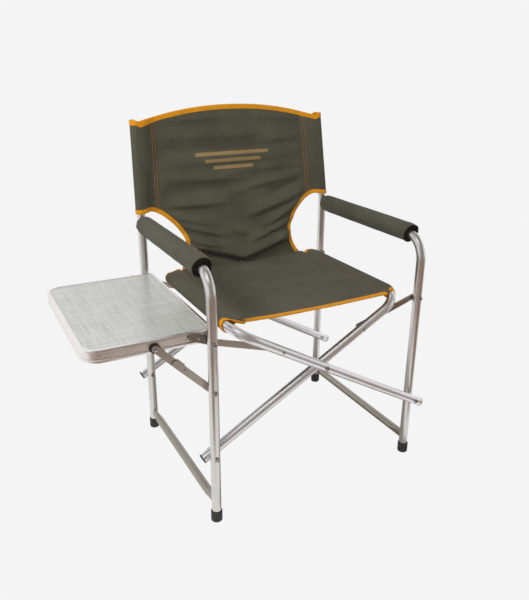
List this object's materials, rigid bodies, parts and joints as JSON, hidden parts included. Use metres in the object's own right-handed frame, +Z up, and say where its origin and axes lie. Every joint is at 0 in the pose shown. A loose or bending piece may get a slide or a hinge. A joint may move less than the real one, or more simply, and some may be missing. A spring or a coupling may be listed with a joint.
{
  "type": "folding director chair with side table",
  "caption": "Folding camping armchair with a canvas seat and back on crossed aluminium tubes, padded arms and a drop-down side table.",
  "frame": {"origin": "middle of the chair's box at floor level", "axes": "+Z up, the sitter faces -Y, +X to the right seen from in front; the side table is on -X"},
  "size_m": [0.845, 0.5328, 0.881],
  "materials": {
    "aluminium": "satin polished tube",
    "rail_metal": "dull beige-grey coat",
    "dark_steel": "dark coated steel",
    "screw_steel": "plated",
    "rubber": "matt",
    "black_plastic": "moulded",
    "canvas": "plain weave canvas with a contrasting binding",
    "pad_canvas": "plain weave canvas",
    "foam": "open foam",
    "laminate": "light grey woven-look laminate on board",
    "trim_metal": "ribbed anodised extrusion"
  },
  "bodies": {
    "left_frame": {"left_rear_post": "aluminium", "left_arm_tube": "aluminium", "left_lower_rail": "rail_metal", "left_front_foot": "rubber", "left_rear_foot": "rubber", "left_arm_foam": "foam", "left_arm_cover": "pad_canvas", "left_post_plug": "black_plastic", "left_back_sleeve": "canvas", "left_front_lower_pivot": "screw_steel", "left_front_link_screw": "screw_steel", "left_rear_lower_pivot": "screw_steel", "left_rear_link_screw": "screw_steel", "back_panel": "canvas", "front_brace_leg_pin": "screw_steel", "rear_brace_leg_pin": "screw_steel"},
    "right_frame": {"right_rear_post": "aluminium", "right_arm_tube": "aluminium", "right_lower_rail": "rail_metal", "right_front_foot": "rubber", "right_rear_foot": "rubber", "right_arm_foam": "foam", "right_arm_cover": "pad_canvas", "right_post_plug": "black_plastic", "right_back_sleeve": "canvas", "right_front_lower_pivot": "screw_steel", "right_front_link_screw": "screw_steel", "right_rear_lower_pivot": "screw_steel", "right_rear_link_screw": "screw_steel"},
    "right_cross": {"right_seat_tube": "aluminium", "right_seat_tube_front_plug": "black_plastic", "right_seat_tube_rear_plug": "black_plastic", "right_seat_sleeve": "canvas", "front_crossing_pivot": "screw_steel", "rear_crossing_pivot": "screw_steel"},
    "left_cross": {"left_seat_tube": "aluminium", "left_seat_tube_front_plug": "black_plastic", "left_seat_tube_rear_plug": "black_plastic", "left_seat_sleeve": "canvas"},
    "left_links": {"left_front_link": "aluminium", "left_rear_link": "aluminium"},
    "right_links": {"right_front_link": "aluminium", "right_rear_link": "aluminium"},
    "table": {"front_table_bracket": "dark_steel", "front_table_washer": "black_plastic", "front_brace_table_pin": "screw_steel", "rear_table_bracket": "dark_steel", "rear_table_washer": "black_plastic", "rear_brace_table_pin": "screw_steel", "table_trim": "trim_metal", "table_board": "laminate"},
    "lower_braces": {"front_lower_brace": "aluminium", "rear_lower_brace": "aluminium"},
    "upper_braces": {"front_upper_brace": "aluminium", "rear_upper_brace": "aluminium"},
    "left_seat": {"left_seat_panel": "canvas"},
    "right_seat": {"right_seat_panel": "canvas"},
    "lower_back": {"lower_back_panel": "canvas"}
  },
  "joints": [
    {"name": "fold", "type": "hinge", "parent": "left_frame", "child": "right_cross", "pos_m": [-0.1645, -0.01697, 0.169], "axis": [0, -1, 0], "range_deg": [0, 47.33], "deforming": ["back_panel", "lower_back_panel", "left_seat_panel", "right_seat_panel"]},
    {"name": "crossing", "type": "hinge", "parent": "right_cross", "child": "left_cross", "pos_m": [0.1155, -0.01697, 0.32852], "axis": [0, 1, 0], "range_deg": [0, 94.67]},
    {"name": "right_pivot", "type": "hinge", "parent": "left_cross", "child": "right_frame", "pos_m": [0.3955, -0.01697, 0.169], "axis": [0, -1, 0], "range_deg": [0, 47.34]},
    {"name": "left_link_swing", "type": "hinge", "parent": "left_frame", "child": "left_links", "pos_m": [-0.1645, -0.01697, 0.4453], "axis": [0, -1, 0], "range_deg": [0, 92.93]},
    {"name": "right_link_swing", "type": "hinge", "parent": "right_frame", "child": "right_links", "pos_m": [0.3955, -0.01697, 0.4453], "axis": [0, 1, 0], "range_deg": [0, 92.93]},
    {"name": "left_seat_seam", "type": "hinge", "parent": "left_cross", "child": "left_seat", "pos_m": [-0.0745, -0.01697, 0.4685], "axis": [0, 1, 0], "range_deg": [0, 32.46]},
    {"name": "seat_crease", "type": "hinge", "parent": "left_seat", "child": "right_seat", "pos_m": [0.1155, -0.01697, 0.4605], "axis": [0, -1, 0], "range_deg": [0, 159.56]},
    {"name": "lower_back_swing", "type": "hinge", "parent": "left_frame", "child": "lower_back", "pos_m": [0.1155, 0.20703, 0.603], "axis": [-1, 0, 0], "range_deg": [0, 158.01]},
    {"name": "table_fold", "type": "hinge", "parent": "left_frame", "child": "table", "pos_m": [-0.1645, -0.01697, 0.4453], "axis": [0, -1, 0], "range_deg": [0, 85]},
    {"name": "lower_brace_swing", "type": "hinge", "parent": "left_frame", "child": "lower_braces", "pos_m": [-0.1645, -0.01697, 0.3334], "axis": [0, 1, 0], "range_deg": [0, 25.53]},
    {"name": "upper_brace_swing", "type": "hinge", "parent": "table", "child": "upper_braces", "pos_m": [-0.2815, -0.01697, 0.453], "axis": [0, -1, 0], "range_deg": [0, 56.93]}
  ],
  "couplings": [
    {"joint": "crossing", "follows": "fold", "ratio": 2},
    {"joint": "right_pivot", "follows": "fold", "ratio": 1},
    {"joint": "left_link_swing", "follows": "fold", "ratio": 1.9633},
    {"joint": "right_link_swing", "follows": "fold", "ratio": 1.9633},
    {"joint": "left_seat_seam", "follows": "fold", "ratio": 0.68553},
    {"joint": "seat_crease", "follows": "fold", "ratio": 3.3711},
    {"joint": "lower_back_swing", "follows": "fold", "ratio": 3.3383},
    {"joint": "lower_brace_swing", "follows": "table_fold", "ratio": 0.30024},
    {"joint": "upper_brace_swing", "follows": "table_fold", "ratio": 0.66961}
  ]
}
